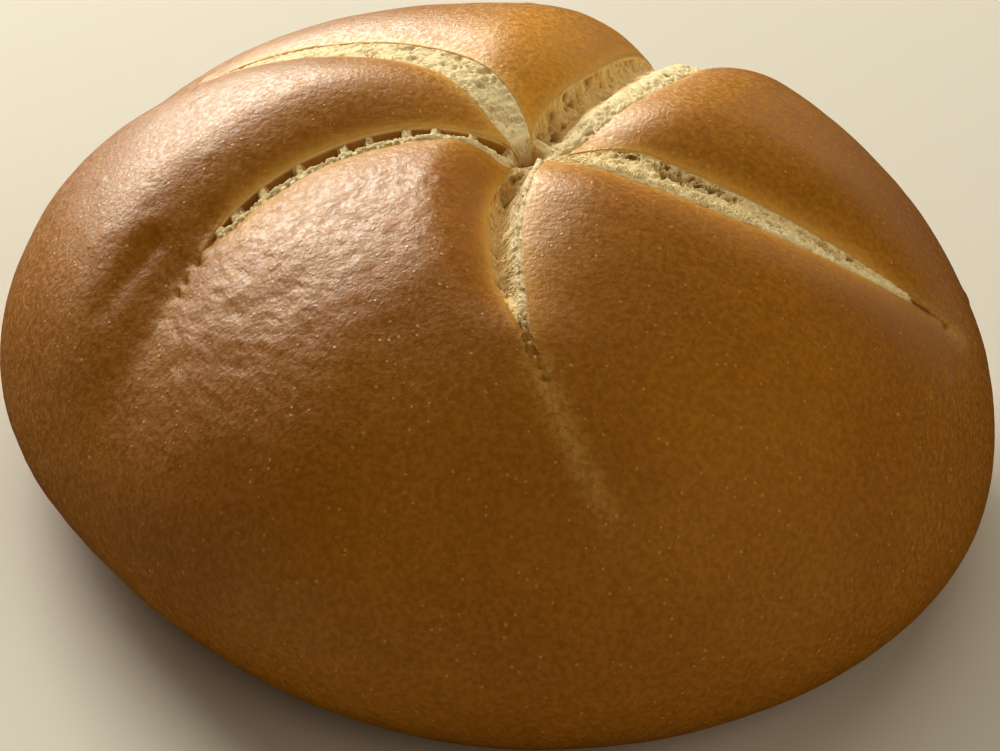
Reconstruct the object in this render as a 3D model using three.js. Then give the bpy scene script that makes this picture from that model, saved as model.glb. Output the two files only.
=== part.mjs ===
// A kaiser roll: a round bread roll whose domed top is split into petals by five curved slits.
//
// The roll is one closed surface on a grid. Its rows are rings that run from the crown, where the
// slits meet, over the dome to the belly and in under it to the middle of the flat base. Its columns
// follow the slits: some lie in the torn crumb of a slit, the rest on the crust of the petals.
// Millimetres and degrees, +Z up, the roll's front to -Y, the origin on the base under the crown.

import * as THREE from 'three';
import { mergeVertices } from 'three/addons/utils/BufferGeometryUtils.js';

const { clamp, degToRad, lerp, smoothstep } = THREE.MathUtils;

// The whole roll
const RADIUS = 52.5; // mean radius of the belly, measured in plan from the crown
const HEIGHT = 50.7; // the dome above the table, before the slits sink into it
const BELLY_HEIGHT = 11.6; // mean height of the belly, the widest ring
const BELLY_LEAN = { rise: 4.2, toward: 264 }; // the belly sits higher on this side
const BASE_SHARE = 0.73; // mean radius of the flat base as a share of the belly's
const BASE_TUCK = 0.06; // how much smaller that share is on the side where the belly sits higher
const OUTLINE_WAVES = [ // slow waves that make the outline uneven
  { count: 1, share: 0.046, toward: 118 },
  { count: 2, share: 0.022, toward: 130 },
  { count: 3, share: 0.017, toward: 40 },
  { count: 4, share: 0.01, toward: 76 },
];

// The slits, counter-clockwise from the right. Each leaves the crown at its heading and follows an arc
// of the radius bend. Its length is measured along the dome, and it narrows by the power taper, late
// where that is large. Its two lips, first the clockwise one, lie below the dome by drop.
const SLITS = [
  { heading: -25.5, bend: 72, length: 54, width: 4.3, taper: 1.5, depth: 4.0, drop: [3.6, 1.6] },
  { heading: 51.5, bend: 72, length: 64, width: 8.2, taper: 3.5, depth: 4.5, drop: [3.2, 3.8] },
  { heading: 117.5, bend: 42, length: 62, width: 4.5, taper: 2, depth: 3.0, drop: [1.8, 2.0] },
  { heading: 166, bend: 35, length: 52, width: 2.4, taper: 2, depth: 5.0, drop: [3.8, 4.4] },
  { heading: 250, bend: 42.5, length: 38, width: 6.4, taper: 0.75, depth: 4.0, drop: [3.0, 4.6] },
];
const SEAM_WIDTH = 1.2; // what is left of a slit at its end, a shallow seam
const SHOULDER = 11; // width of the rounded shoulder from a lip up to the petal
const CREASE_STRETCH = 1.2; // the shoulders' crease runs on past the end of the slit
const CROWN_DEPTH = 6.5; // the pit where the slits meet, below the dome
const CROWN_REACH = 4.5; // plan radius of that pit
const CRAG = 0.5; // deepest tear in the crumb
const CRAG_SEED = 11;

// How the lines of the surface fall off
const DEPTH_POWER = 1.5; // a slit's floor rises evenly to its end
const CREASE_POWER = 3; // the lips stay low almost to the end
const SHOULDER_POWER = 2.2; // roundness of the shoulder
const TROUGH_POWER = 0.8; // roundness of the slit's floor
const WALL_BULGE = 0.45; // how steeply the slit's walls stand

// A dent in the left petal: where it lies on the dome, its radius and depth
const DENT = { reach: 42, toward: 198, radius: 5, depth: 0.9 };

// The grid
const CRUMB_COLUMNS = 4; // on each side of a slit's middle
const CRUST_COLUMNS = 16; // across each petal
const TOP_ROWS = 30; // crown to belly
const SIDE_ROWS = 12; // belly to the base's edge
const BASE_ROWS = 3; // base's edge to its middle
const PETAL_COLUMNS = 2 * CRUMB_COLUMNS + CRUST_COLUMNS;
const COLUMNS = SLITS.length * PETAL_COLUMNS;
const ROWS = TOP_ROWS + SIDE_ROWS + BASE_ROWS;
const EVEN_SHARE = CRUMB_COLUMNS / PETAL_COLUMNS;

const CRUST_COLOUR = 0xa8662a;

// A row's ring: 0 at the crown, 1 at the belly, 2 at the base's edge, 3 at the base's middle.
function ringOfRow(row) {
  if (row <= TOP_ROWS) return row / TOP_ROWS;
  if (row <= TOP_ROWS + SIDE_ROWS) return 1 + (row - TOP_ROWS) / SIDE_ROWS;
  return 2 + (row - TOP_ROWS - SIDE_ROWS) / BASE_ROWS;
}

// Plan distance of a ring from the crown, on a roll with no waves in its outline.
function reachOfRing(ring) {
  return RADIUS * Math.sin(Math.min(ring, 1) * Math.PI / 2);
}

// Distance of a ring from the crown along the dome, on a half ball of the same radius.
function runOfRing(ring) {
  return RADIUS * ring * Math.PI / 2;
}

function outlineRadius(angle) {
  const wave = ({ count, share, toward }) => share * Math.cos(count * (angle - degToRad(toward)));
  return RADIUS * OUTLINE_WAVES.reduce((sum, each) => sum + wave(each), 1);
}

// The smooth roll, before any slit: a quarter ellipse up from the belly and one in under it.
function domePoint(ring, angle) {
  const lean = Math.cos(angle - degToRad(BELLY_LEAN.toward));
  const belly = BELLY_HEIGHT + BELLY_LEAN.rise * lean;
  const base = BASE_SHARE - BASE_TUCK * lean;
  const top = clamp(ring, 0, 1) * Math.PI / 2;
  const under = clamp(ring - 1, 0, 1) * Math.PI / 2;
  const inward = clamp(ring - 2, 0, 1);
  const share = Math.sin(top) - (1 - base) * (1 - Math.cos(under)) - base * inward;
  const height = ring < 2 ? belly * (1 - Math.sin(under)) + (HEIGHT - belly) * Math.cos(top) : 0;
  const radius = outlineRadius(angle) * share;
  return new THREE.Vector3(radius * Math.cos(angle), radius * Math.sin(angle), height);
}

function domeNormal(ring, angle) {
  const step = 1e-4;
  const down = domePoint(ring + step, angle).sub(domePoint(ring - step, angle));
  const around = domePoint(ring, angle + step).sub(domePoint(ring, angle - step));
  return down.cross(around).normalize();
}

// What is left of a slit on a ring, 1 at the crown and 0 past the slit's end.
function remains(slit, ring, power, stretch = 1) {
  return Math.max(0, 1 - (runOfRing(ring) / (slit.length * stretch)) ** power);
}

function slitAngle(slit, reach) {
  return degToRad(slit.heading) + Math.asin(reach / (2 * slit.bend));
}

// Angle from a slit's middle to its lip on the petal between it and another slit. The wider slit of
// the two takes more of the petal's tip. Past the slit's end the columns spread out evenly.
function lipAngle(slit, other, ring, petal) {
  const reach = Math.max(reachOfRing(ring), 1e-3);
  const opening = SEAM_WIDTH + (slit.width - SEAM_WIDTH) * remains(slit, ring, slit.taper);
  const slant = Math.sqrt(1 - (reach / (2 * slit.bend)) ** 2);
  const room = petal * slit.width / (slit.width + other.width);
  const open = room * Math.tanh(opening / 2 / (slant * reach * room));
  const spread = smoothstep(runOfRing(ring), slit.length, runOfRing(1));
  return lerp(open, petal * EVEN_SHARE, spread);
}

function lipDrop(slit, side, ring) {
  return slit.drop[side] * remains(slit, ring, CREASE_POWER, CREASE_STRETCH);
}

// One column in the crumb, off a slit's middle by 0 to 1 of the way to the lip on its side.
function crumbColumn(slit, side, off, ring, middle, lip) {
  const sign = side === 0 ? -1 : 1;
  const angle = middle + sign * lip * off * (1 + WALL_BULGE * (1 - off * off));
  const drop = lerp(lipDrop(slit, 1 - side, ring), lipDrop(slit, side, ring), (1 + off) / 2);
  const open = remains(slit, ring, DEPTH_POWER);
  const trough = slit.depth * open * (1 - off * off) ** TROUGH_POWER;
  return { angle, sunk: drop + trough, open };
}

// One column on the crust, across a petal by 0 to 1 of the way from its first slit to its second.
function crustColumn(slits, across, ring, firstLip, secondLip) {
  const reach = reachOfRing(ring);
  const angle = lerp(firstLip, secondLip, across);
  const shoulder = (lip) => (1 - clamp(reach * Math.abs(angle - lip) / SHOULDER, 0, 1)) ** SHOULDER_POWER;
  const sunk = lipDrop(slits[0], 1, ring) * shoulder(firstLip)
    + lipDrop(slits[1], 0, ring) * shoulder(secondLip);
  return { angle, sunk, open: 0 };
}

// Angle of a grid column on a ring, how far it is sunk below the dome and how open its crumb is.
function columnOnRing(column, ring) {
  const petal = Math.floor(column / PETAL_COLUMNS);
  const next = (petal + 1) % SLITS.length;
  const slits = [SLITS[petal], SLITS[next]];
  const reach = reachOfRing(ring);
  const first = slitAngle(slits[0], reach);
  const second = slitAngle(slits[1], reach) + (next === 0 ? 2 * Math.PI : 0);
  const firstLip = lipAngle(slits[0], slits[1], ring, second - first);
  const secondLip = lipAngle(slits[1], slits[0], ring, second - first);
  const place = column % PETAL_COLUMNS;
  if (place < CRUMB_COLUMNS) return crumbColumn(slits[0], 1, place / CRUMB_COLUMNS, ring, first, firstLip);
  if (place > CRUMB_COLUMNS + CRUST_COLUMNS) {
    const off = (PETAL_COLUMNS - place) / CRUMB_COLUMNS;
    return crumbColumn(slits[1], 0, off, ring, second, secondLip);
  }
  const across = (place - CRUMB_COLUMNS) / CRUST_COLUMNS;
  return crustColumn(slits, across, ring, first + firstLip, second - secondLip);
}

// Repeatable random numbers from 0 to 1.
function seededDraw(seed) {
  let state = seed;
  return () => {
    state = (Math.imul(state, 1664525) + 1013904223) >>> 0;
    return state / 2 ** 32;
  };
}

// Depth of a tear at each grid point, for the crumb.
function drawCrags() {
  const draw = seededDraw(CRAG_SEED);
  return Array.from({ length: ROWS + 1 }, () => Array.from({ length: COLUMNS }, () => CRAG * draw()));
}

function dentAt(point) {
  const angle = degToRad(DENT.toward);
  const ring = Math.asin(DENT.reach / RADIUS) * 2 / Math.PI;
  const off = point.distanceTo(domePoint(ring, angle)) / DENT.radius;
  return DENT.depth * Math.exp(-off * off);
}

function surfacePoint(column, row, crags) {
  const ring = ringOfRow(row);
  const reach = reachOfRing(ring);
  const { angle, sunk, open } = columnOnRing(column, ring);
  const point = domePoint(ring, angle);
  if (ring >= 1) return point;
  const settled = lerp(CROWN_DEPTH, sunk, smoothstep(reach, 0, CROWN_REACH));
  const depth = settled + open * crags[row][column] + dentAt(point);
  const outward = row === 0 ? new THREE.Vector3(0, 0, 1) : domeNormal(ring, angle);
  return point.addScaledVector(outward, -depth);
}

// A sphere's grid, its corners moved to the roll's surface.
function rollGeometry() {
  const sphere = new THREE.SphereGeometry(1, COLUMNS, ROWS);
  const crags = drawCrags();
  const { position, uv } = sphere.attributes;
  for (let i = 0; i < position.count; i++) {
    const row = Math.round((1 - uv.getY(i)) * ROWS);
    const atPole = row === 0 || row === ROWS;
    const column = atPole ? 0 : Math.round(uv.getX(i) * COLUMNS) % COLUMNS;
    position.setXYZ(i, ...surfacePoint(column, row, crags));
  }
  sphere.deleteAttribute('normal');
  sphere.deleteAttribute('uv');
  const closed = mergeVertices(sphere);
  closed.computeVertexNormals();
  return closed;
}

const crust = new THREE.MeshStandardMaterial({ color: CRUST_COLOUR, roughness: 0.5, metalness: 0 });
const roll = new THREE.Mesh(rollGeometry(), crust);
roll.name = 'roll';

const kaiserRoll = new THREE.Group();
kaiserRoll.add(roll);

export default kaiserRoll;
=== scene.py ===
"""Kaiser roll: the looks of a round bread roll whose browned top is split by five curved slits.

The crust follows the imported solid's own rule at a finer step. The torn crumb in the slits and its
threads are pieces of their own. Sizes are in millimetres and degrees until a mesh is written.
"""
import math
from functools import reduce
from typing import NamedTuple

import bpy
import numpy as np
from bpy.props import FloatProperty, FloatVectorProperty, IntProperty, PointerProperty
from mathutils import Matrix, Vector


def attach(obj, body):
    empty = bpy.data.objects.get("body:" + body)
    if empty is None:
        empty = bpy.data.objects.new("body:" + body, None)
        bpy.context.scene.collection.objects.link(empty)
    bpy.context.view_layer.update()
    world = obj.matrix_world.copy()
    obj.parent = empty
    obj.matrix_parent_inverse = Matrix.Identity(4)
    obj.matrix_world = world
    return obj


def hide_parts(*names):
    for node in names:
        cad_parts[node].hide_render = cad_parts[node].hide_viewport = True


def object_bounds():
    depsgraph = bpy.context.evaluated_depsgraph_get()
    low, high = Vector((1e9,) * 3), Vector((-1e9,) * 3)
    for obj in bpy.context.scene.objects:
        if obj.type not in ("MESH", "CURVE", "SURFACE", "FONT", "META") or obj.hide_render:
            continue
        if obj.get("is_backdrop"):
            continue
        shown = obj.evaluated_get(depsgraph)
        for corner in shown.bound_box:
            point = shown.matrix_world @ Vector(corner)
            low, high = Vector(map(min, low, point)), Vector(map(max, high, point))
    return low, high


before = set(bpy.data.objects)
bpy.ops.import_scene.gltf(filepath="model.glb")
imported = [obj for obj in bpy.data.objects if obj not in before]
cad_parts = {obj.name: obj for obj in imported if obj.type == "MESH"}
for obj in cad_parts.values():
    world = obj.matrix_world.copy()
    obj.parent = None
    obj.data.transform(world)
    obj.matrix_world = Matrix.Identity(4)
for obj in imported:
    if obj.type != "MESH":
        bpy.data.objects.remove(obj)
CAD_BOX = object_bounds()

bl_info = {
    "name": "Kaiser Roll",
    "version": (1, 0, 0),
    "blender": (4, 5, 0),
    "location": "View3D > Sidebar > Kaiser Roll",
    "description": "Builds a kaiser roll with a browned crust and torn crumb in its slits",
    "category": "Add Mesh",
}

MM = 0.001


# The shape of the roll, by the same rule as its solid


class Slit(NamedTuple):
    """One slit: it leaves the crown at its heading along an arc of the radius bend."""

    heading: float
    bend: float
    length: float
    width: float
    taper: float
    depth: float
    drop: tuple
    shoulder: tuple = (11.0, 11.0)
    power: tuple = (2.2, 2.2)
    stretch: float = 1.2


RADIUS = 52.5
HEIGHT = 50.7
BELLY_HEIGHT = 11.6
BELLY_LEAN_RISE, BELLY_LEAN_TOWARD = 4.2, 264.0
BASE_SHARE, BASE_TUCK = 0.73, 0.06
OUTLINE_WAVES = ((1, 0.046, 118.0), (2, 0.022, 130.0), (3, 0.017, 40.0), (4, 0.01, 76.0))
SLITS = (
    Slit(-23.5, 72, 54, 7.6, 1.4, 4.0, (2.6, 3.2)),
    Slit(51.5, 72, 64, 8.2, 3.5, 4.5, (3.2, 3.8)),
    Slit(117.5, 42, 62, 4.5, 2, 3.0, (1.8, 2.0)),
    Slit(166, 35, 52, 2.4, 2, 5.0, (3.8, 4.2), (11, 26), (2.2, 1.3), 1.5),
    Slit(250, 42.5, 38, 6.4, 0.75, 4.0, (4.2, 2.2), (10, 11), (2.2, 2.2), 0.9),
)
RIGHT, BACK, FAR_LEFT, LEFT, FRONT = range(len(SLITS))


class Tear(NamedTuple):
    """How the crumb tore in a slit.

    It is open as far as its end, closing over its fade, and a pale seam of a half width goes on from
    there. Floor is the share of the slit's depth left open. A bank of crumb fills it towards one side,
    from a start across it over a slope, and rises above that lip. Cave is how far the other lip is
    hollowed out. Sponge and lumps are how open and how rough the crumb is. Painted shade is how much
    of the darker wall colour is painted as shade on the crumb off the bank. Cells are the holes in
    crumb that spans the slit, each from a start to an end. Golden is how far the golden edge goes on
    each lip.
    """

    end: float
    fade: float
    seam_end: float
    seam_width: float
    floor: float
    side: int = 0
    start: float = 0.0
    slope: float = 1.0
    rise: float = 0.0
    cave: float = 0.0
    sponge: float = 0.6
    lumps: float = 1.0
    painted_shade: float = 0.0
    cells: tuple = ()
    golden: tuple = (1.8, 1.8)


CELLS = (
    (2.6, 6.4), (6.9, 10.1), (10.6, 13.0), (13.8, 17.4), (18.0, 20.2), (20.8, 25.8), (26.4, 30.7),
    (31.5, 34.4), (36.0, 37.6),
)
CELL_MIDDLE, CELL_HALF, CELL_SOFTNESS, WEB_DROP = -0.35, 0.8, 0.4, 0.35
CAVE_EDGE = 0.2
TEARS = (
    Tear(57, 18, 62, 1.5, 0.25, side=-1, start=-0.5, slope=1.4, rise=0.2, sponge=1.0, painted_shade=0.5,
         golden=(2.6, 1.2)),
    Tear(66, 10, 70, 1.5, 0.85, side=-1, start=-0.5, slope=0.95, rise=0.15, sponge=0.8, painted_shade=1.0,
         golden=(2.6, 6.5)),
    Tear(57, 16, 64, 1.2, 0.08, sponge=0.35, lumps=0.6, painted_shade=0.1),
    Tear(42, 8, 57, 0.7, 0.8, side=1, start=0.1, slope=0.5, rise=0.1, cave=1.0, sponge=0.4,
         painted_shade=0.5, cells=CELLS, golden=(0.5, 2.4)),
    Tear(36, 12, 62, 1.2, 1.15, side=1, start=-0.4, slope=1.3, rise=0.15, sponge=0.9, painted_shade=1.0,
         golden=(0.9, 2.6)),
)
HOLLOW_START = (1.0, 5.5)
CLOSED_ROUNDING, CLOSED_SHARE, SEAM_WIDTH = 2.4, 0.2, 1.2
CROWN_DEPTH, CROWN_REACH = 6.5, 4.5
PIT_DEPTH, PIT_REACH = 3.0, 1.5
DEPTH_POWER, CREASE_POWER = 1.5, 3.0
TROUGH_POWER, WALL_BULGE = 0.8, 0.45
DENT_REACH, DENT_TOWARD, DENT_RADIUS, DENT_DEPTH = 42.0, 198.0, 5.0, 0.35
GROOVE_START, GROOVE_END = (-38.6, -8.7, 36.8), (-42.8, -13.8, 31.2)
GROOVE_RADIUS, GROOVE_DEPTH, GROOVE_FADE = 1.3, 0.8, 0.7


def smooth_step(value, low, high):
    share = np.clip((value - low) / (high - low), 0.0, 1.0)
    return share * share * (3.0 - 2.0 * share)


def mix(first, second, share):
    return first + (second - first) * share


def reach_of(ring):
    """Plan distance of a ring from the crown, on a roll with no waves in its outline."""
    return RADIUS * np.sin(np.minimum(ring, 1.0) * np.pi / 2)


def run_of(ring):
    """Distance of a ring from the crown along the dome, on a half ball of the same radius."""
    return RADIUS * ring * np.pi / 2


def outline_radius(angle):
    waves = 0.0
    for count, share, toward in OUTLINE_WAVES:
        waves = waves + share * np.cos(count * (angle - np.radians(toward)))
    return RADIUS * (1.0 + waves)


def dome(ring, angle):
    """Points of the smooth roll. Ring is 0 at the crown, 1 at the belly, 2 and 3 on the base."""
    lean = np.cos(angle - np.radians(BELLY_LEAN_TOWARD))
    belly = BELLY_HEIGHT + BELLY_LEAN_RISE * lean
    base = BASE_SHARE - BASE_TUCK * lean
    top = np.clip(ring, 0.0, 1.0) * np.pi / 2
    under = np.clip(ring - 1.0, 0.0, 1.0) * np.pi / 2
    inward = np.clip(ring - 2.0, 0.0, 1.0)
    share = np.sin(top) - (1 - base) * (1 - np.cos(under)) - base * inward
    height = np.where(ring < 2, belly * (1 - np.sin(under)) + (HEIGHT - belly) * np.cos(top), 0.0)
    radius = outline_radius(angle) * share
    return np.stack([radius * np.cos(angle), radius * np.sin(angle), height], axis=-1)


def dome_normal(ring, angle):
    step = 1e-4
    down = dome(ring + step, angle) - dome(ring - step, angle)
    around = dome(ring, angle + step) - dome(ring, angle - step)
    normal = np.cross(down, around)
    return normal / np.maximum(np.linalg.norm(normal, axis=-1, keepdims=True), 1e-12)


def remains(slit, ring, power, stretch=1.0):
    """What is left of a slit on a ring, 1 at the crown and 0 past the slit's end."""
    return np.maximum(0.0, 1.0 - (run_of(ring) / (slit.length * stretch)) ** power)


def slit_at(index):
    return SLITS[index % len(SLITS)]


def tear_at(index):
    return TEARS[index % len(SLITS)]


def slit_angle(index, ring):
    slit = slit_at(index)
    turns = 2 * np.pi * (index // len(SLITS))
    return np.radians(slit.heading) + turns + np.arcsin(reach_of(ring) / (2 * slit.bend))


def slant_of(slit, ring):
    """How much narrower a slit is than its width measured round the crown."""
    return np.sqrt(1 - (reach_of(ring) / (2 * slit.bend)) ** 2)


def open_share(index, ring):
    """1 where a slit is torn open, 0 where its crust is closed."""
    tear = tear_at(index)
    return 1 - smooth_step(run_of(ring), tear.end - tear.fade, tear.end)


def lip_angle(index, step, ring, petal):
    """Angle from a slit's middle to its lip on the petal between it and the next slit on one side.

    The wider slit takes more of the petal's tip. Past the slit's end the columns spread out evenly.
    """
    slit, other = slit_at(index), slit_at(index + step)
    reach = np.maximum(reach_of(ring), 1e-3)
    opening = SEAM_WIDTH + (slit.width - SEAM_WIDTH) * remains(slit, ring, slit.taper)
    opening = opening * mix(CLOSED_SHARE, 1.0, open_share(index, ring))
    room = petal * slit.width / (slit.width + other.width)
    opened = room * np.tanh(opening / 2 / (slant_of(slit, ring) * reach * room))
    spread = smooth_step(run_of(ring), slit.length, run_of(1.0))
    return mix(opened, petal * EVEN_SHARE, spread)


def crease(index, side, ring, gap):
    """How far the crust at a gap from a slit's lip is drawn down. A closed crease is rounded."""
    slit, opened = slit_at(index), open_share(index, ring)
    left = smooth_step(remains(slit, ring, CREASE_POWER, slit.stretch), 0.0, 1.0)
    drop = mix(sum(slit.drop) / 2, slit.drop[side], opened)
    rounding = CLOSED_ROUNDING * (1 - opened)
    share = np.clip((np.sqrt(gap * gap + rounding * rounding) - rounding) / slit.shoulder[side], 0, 1)
    return drop * left * (1 - share) ** slit.power[side]


class SlitRow(NamedTuple):
    """A slit on some rings: its middle, and the angle, crust and depth at each of its lips."""

    middle: np.ndarray
    lips: tuple
    crusts: tuple
    depths: tuple


def slit_row(index, ring):
    """Where a slit lies on some rings."""
    middle = slit_angle(index, ring)
    lips, crusts, depths = [], [], []
    for side, step in enumerate((-1, 1)):
        petal = np.abs(slit_angle(index + step, ring) - middle)
        lip = lip_angle(index, step, ring, petal)
        crust = petal - lip - lip_angle(index + step, -step, ring, petal)
        lips.append(lip)
        crusts.append(crust)
        far_drop = crease(index + step, 1 - side, ring, reach_of(ring) * crust)
        depths.append(crease(index, side, ring, 0.0) + far_drop)
    return SlitRow(middle, lips, crusts, depths)


def bank_share(tear, off):
    """1 on the bank of crumb along one lip, 0 elsewhere."""
    if tear.side == 0:
        return 0.0 * off
    return smooth_step(off * tear.side, tear.start, tear.start + tear.slope)


def cell_share(tear, off, run):
    """1 in the holes of the crumb that spans a slit, 0 between them. Other slits are open all along."""
    if not tear.cells:
        return 1.0 + 0.0 * off
    across = (off * tear.side - CELL_MIDDLE) / CELL_HALF
    along = [(2 * run - start - end) / (end - start) for start, end in tear.cells]
    inside = [1 - each ** 4 - across ** 4 for each in along]
    return smooth_step(np.maximum.reduce(inside), 0.0, CELL_SOFTNESS)


def crumb_sunk(index, off, run):
    """How far the torn face of a slit lies below the dome."""
    slit, tear = slit_at(index), tear_at(index)
    ring = run / run_of(1.0)
    drop = mix(*slit_row(index, ring).depths, (1 + off) / 2)
    opened = smooth_step(reach_of(ring), *HOLLOW_START) * open_share(index, ring)
    cave = tear.cave * smooth_step(-off * tear.side, -CAVE_EDGE, CAVE_EDGE)
    profile = np.maximum((1 - off * off) ** TROUGH_POWER, cave)
    left = remains(slit, ring, DEPTH_POWER)
    hollow = tear.floor * slit.depth * profile * left
    bank = bank_share(tear, off)
    hole = cell_share(tear, off, run) * (1 - bank)
    web = WEB_DROP * bool(tear.cells) * (1 - bank)
    return drop + opened * (opened * hollow * hole + web - tear.rise * left * bank)


def across_of(off, opened=1.0):
    """Where a point of a slit's wall lies, as a share of its lip's angle.

    Off is -1 at the clockwise lip, 0 in the middle and 1 at the other lip.
    """
    return off * (1 + WALL_BULGE * (1 - off * off) * opened)


def groove_mark(points):
    """How near points lie to the groove in the dent, from 0 to 1."""
    groove = np.array(GROOVE_END) - GROOVE_START
    along = np.clip((points - GROOVE_START) @ groove / (groove @ groove), 0, 1)
    aside = np.linalg.norm(points - GROOVE_START - along[..., None] * groove, axis=-1) / GROOVE_RADIUS
    return (1 - GROOVE_FADE * along) * np.exp(-aside * aside)


def spot(points, middle, radius):
    """1 in the middle of a round spot, fading out around it."""
    off = np.linalg.norm(points - middle, axis=-1) / radius
    return np.exp(-off * off)


def settle(ring, angle, sunk):
    """Points of the dome moved down to the slits, the pit at the crown and the dent."""
    points = dome(ring, angle)
    reach = reach_of(ring)
    settled = mix(CROWN_DEPTH, sunk, smooth_step(reach, 0.0, CROWN_REACH))
    settled = settled + PIT_DEPTH * np.exp(-((reach / PIT_REACH) ** 2))
    dent_ring = np.arcsin(DENT_REACH / RADIUS) * 2 / np.pi
    dent_middle = dome(np.array(dent_ring), np.array(np.radians(DENT_TOWARD)))
    dents = DENT_DEPTH * spot(points, dent_middle, DENT_RADIUS) + GROOVE_DEPTH * groove_mark(points)
    depth = np.where(ring < 1, settled + dents, 0.0)
    return points - dome_normal(ring, angle) * depth[..., None]


# Meshes from arrays


def mesh_of(name, points, faces, marks, edges=()):
    """A smooth mesh, with each mark's values, or vectors, kept on its points under the mark's name."""
    mesh = bpy.data.meshes.new(name)
    mesh.from_pydata((points * MM).tolist(), edges, faces)
    for mark, values in marks.items():
        kind, field = ("FLOAT_VECTOR", "vector") if values.ndim == 2 else ("FLOAT", "value")
        kept = mesh.attributes.new(mark, kind, "POINT")
        kept.data.foreach_set(field, values.astype(np.float32).ravel())
    mesh.polygons.foreach_set("use_smooth", np.ones(len(mesh.polygons), bool))
    mesh.update()
    return mesh


def link_object(name, data):
    made = bpy.data.objects.new(name, data)
    bpy.context.scene.collection.objects.link(made)
    return made


def ring_faces(rows, columns):
    """Faces between rows of points, each row a closed loop."""
    place = np.arange(rows * columns).reshape(rows, columns)
    after = np.roll(place, -1, axis=1)
    return np.stack([place[:-1], place[1:], after[1:], after[:-1]], axis=-1).reshape(-1, 4)


# Short ways to place nodes


class Bench:
    """Places nodes in one tree and joins their sockets."""

    def __init__(self, tree):
        self.tree = tree

    def place(self, kind, sockets=None, **settings):
        node = self.tree.nodes.new(kind)
        for name, value in settings.items():
            setattr(node, name, value)
        for name, value in (sockets or {}).items():
            self.feed(node.inputs[name], value)
        return node

    def feed(self, socket, value):
        if isinstance(value, bpy.types.NodeSocket):
            self.tree.links.new(value, socket)
        else:
            socket.default_value = value

    def feed_all(self, sockets, values):
        for socket, value in zip(sockets, values):
            self.feed(socket, value)

    def math(self, operation, *values):
        node = self.place("ShaderNodeMath", operation=operation)
        self.feed_all(node.inputs, values)
        return node.outputs[0]

    def total(self, *values):
        return reduce(lambda before, value: self.math("ADD", before, value), values)

    def product(self, *values):
        return reduce(lambda before, value: self.math("MULTIPLY", before, value), values)

    def vector(self, operation, *values):
        node = self.place("ShaderNodeVectorMath", operation=operation)
        scales = operation == "SCALE"
        self.feed_all([node.inputs[0], node.inputs["Scale"]] if scales else node.inputs, values)
        return node.outputs[0]

    def range(self, value, low, high, start=0.0, end=1.0):
        node = self.place("ShaderNodeMapRange", interpolation_type="SMOOTHSTEP")
        self.feed_all(node.inputs, (value, low, high, start, end))
        return node.outputs[0]

    def noise(self, vector, size, detail=2.0, roughness=0.5, output=0):
        sockets = {"Vector": vector, "Scale": 1 / (size * MM), "Detail": detail, "Roughness": roughness}
        return self.place("ShaderNodeTexNoise", sockets).outputs[output]

    def cells(self, vector, size, feature="F1"):
        sockets = {"Vector": vector, "Scale": 1 / (size * MM)}
        return self.place("ShaderNodeTexVoronoi", sockets, feature=feature)

    def blend(self, share, first, second, how="MIX"):
        node = self.place("ShaderNodeMix", data_type="RGBA", blend_type=how)
        colours = [socket for socket in node.inputs if socket.type == "RGBA"]
        self.feed_all((node.inputs[0], *colours), (share, first, second))
        return [socket for socket in node.outputs if socket.type == "RGBA"][0]

    def mark(self, name, kind="FLOAT"):
        """A value kept on the mesh's points, in a geometry tree."""
        return self.place("GeometryNodeInputNamedAttribute", {"Name": name}, data_type=kind).outputs[0]

    def shader_mark(self, name):
        """A value kept on the mesh's points, in a material."""
        return self.place("ShaderNodeAttribute", attribute_name=name).outputs["Fac"]


def add_socket(tree, name, way, kind="Float"):
    return tree.interface.new_socket(name, in_out=way, socket_type="NodeSocket" + kind)


def geometry_tree(name, sizes):
    """A geometry tree with one shape in, one out, and a named input for each size."""
    tree = bpy.data.node_groups.new(name, "GeometryNodeTree")
    add_socket(tree, "Geometry", "INPUT", "Geometry")
    add_socket(tree, "Geometry", "OUTPUT", "Geometry")
    for size in sizes:
        add_socket(tree, size, "INPUT")
    bench = Bench(tree)
    return bench, bench.place("NodeGroupInput").outputs


def raise_points(bench, shape, height):
    """Moves each point along its normal."""
    normal = bench.place("GeometryNodeInputNormal").outputs[0]
    sockets = {"Geometry": shape, "Offset": bench.vector("SCALE", normal, height)}
    return bench.place("GeometryNodeSetPosition", sockets).outputs[0]


def end_tree(bench, shape, material):
    """Closes a geometry tree: real geometry, one material."""
    real = bench.place("GeometryNodeRealizeInstances", {"Geometry": shape}).outputs[0]
    painted = bench.place("GeometryNodeSetMaterial", {"Geometry": real, "Material": material})
    bench.feed(bench.place("NodeGroupOutput").inputs[0], painted.outputs[0])
    return bench.tree


def shape_by(piece, tree, sizes):
    """Runs a geometry tree on a piece and keeps the result as the piece's plain mesh."""
    modifier = piece.modifiers.new(tree.name, "NODES")
    modifier.node_group = tree
    for item in tree.interface.items_tree:
        if item.in_out == "INPUT" and item.name in sizes:
            modifier[item.identifier] = float(sizes[item.name])
    view = bpy.context.evaluated_depsgraph_get()
    shaped = bpy.data.meshes.new_from_object(
        piece.evaluated_get(view), preserve_all_data_layers=True, depsgraph=view)
    piece.modifiers.remove(modifier)
    rough, name = piece.data, piece.data.name
    piece.data = shaped
    bpy.data.meshes.remove(rough)
    shaped.name = name
    if not shaped.polygons:
        raise RuntimeError(f"{tree.name} left nothing of {piece.name}")


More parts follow.
